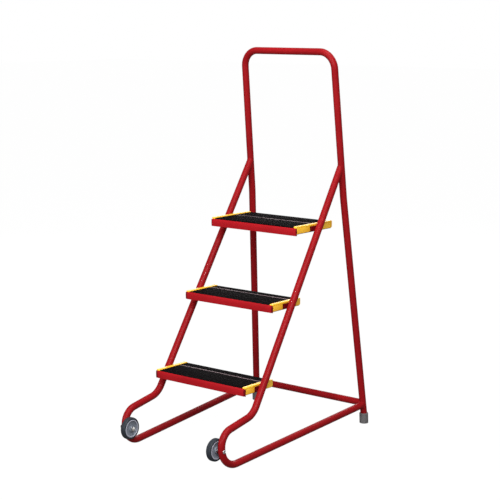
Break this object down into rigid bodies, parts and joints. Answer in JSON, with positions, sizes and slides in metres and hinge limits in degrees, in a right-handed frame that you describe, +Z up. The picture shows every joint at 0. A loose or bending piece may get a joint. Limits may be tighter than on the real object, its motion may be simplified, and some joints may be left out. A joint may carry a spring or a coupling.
{
  "type": "three-tread rolling work steps",
  "caption": "Tubular steel warehouse steps with black-matted treads, yellow side edges, a rear handrail hoop, tilt-to-roll front wheels and rubber rear feet.",
  "frame": {"origin": "middle of the object's plan at floor level", "axes": "+X to the right of a person climbing, +Y from the wheels towards the rear legs, +Z up"},
  "size_m": [0.5436, 0.829, 1.373],
  "materials": {
    "frame_paint": "gloss red enamel",
    "tread_paint": "gloss red enamel on folded sheet",
    "mat_rubber": "fine grained black",
    "joint_strip": "dull",
    "yellow_cap": "satin",
    "foot_rubber": "matte grey",
    "tyre_rubber": "matte",
    "wheel_plastic": "satin grey",
    "bush_plastic": "natural nylon",
    "zinc_steel": "bright zinc"
  },
  "bodies": {
    "frame": {"rear_hoop": "frame_paint", "side_frame_left": "frame_paint", "side_frame_right": "frame_paint", "rear_crossbar": "frame_paint", "tread_1_pan": "tread_paint", "tread_1_front_mat": "mat_rubber", "tread_1_mat_joint_strip": "joint_strip", "tread_1_rear_mat": "mat_rubber", "tread_1_side_cap_left": "yellow_cap", "tread_1_side_cap_right": "yellow_cap", "tread_1_weld_tab_left": "tread_paint", "tread_1_weld_tab_right": "tread_paint", "tread_2_pan": "tread_paint", "tread_2_front_mat": "mat_rubber", "tread_2_mat_joint_strip": "joint_strip", "tread_2_rear_mat": "mat_rubber", "tread_2_side_cap_left": "yellow_cap", "tread_2_side_cap_right": "yellow_cap", "tread_2_weld_tab_left": "tread_paint", "tread_2_weld_tab_right": "tread_paint", "tread_3_pan": "tread_paint", "tread_3_front_mat": "mat_rubber", "tread_3_mat_joint_strip": "joint_strip", "tread_3_rear_mat": "mat_rubber", "tread_3_side_cap_left": "yellow_cap", "tread_3_side_cap_right": "yellow_cap", "tread_3_weld_tab_left": "tread_paint", "tread_3_weld_tab_right": "tread_paint", "axle_bolt_left": "zinc_steel", "axle_nut_left": "zinc_steel", "axle_spacer_washer_left": "zinc_steel", "axle_nut_washer_left": "zinc_steel", "rubber_foot_left": "foot_rubber", "axle_bolt_right": "zinc_steel", "axle_nut_right": "zinc_steel", "axle_spacer_washer_right": "zinc_steel", "axle_nut_washer_right": "zinc_steel", "rubber_foot_right": "foot_rubber"},
    "wheel_left": {"wheel_left_tyre": "tyre_rubber", "wheel_left_centre": "wheel_plastic", "wheel_left_bush": "bush_plastic"},
    "wheel_right": {"wheel_right_tyre": "tyre_rubber", "wheel_right_centre": "wheel_plastic", "wheel_right_bush": "bush_plastic"}
  },
  "joints": [
    {"name": "wheel_left_spin", "type": "hinge", "parent": "frame", "child": "wheel_left", "pos_m": [-0.19526, -0.37548, 0.0718], "axis": [1, 0, 0], "continuous": true},
    {"name": "wheel_right_spin", "type": "hinge", "parent": "frame", "child": "wheel_right", "pos_m": [0.19526, -0.37548, 0.0718], "axis": [1, 0, 0], "continuous": true}
  ]
}
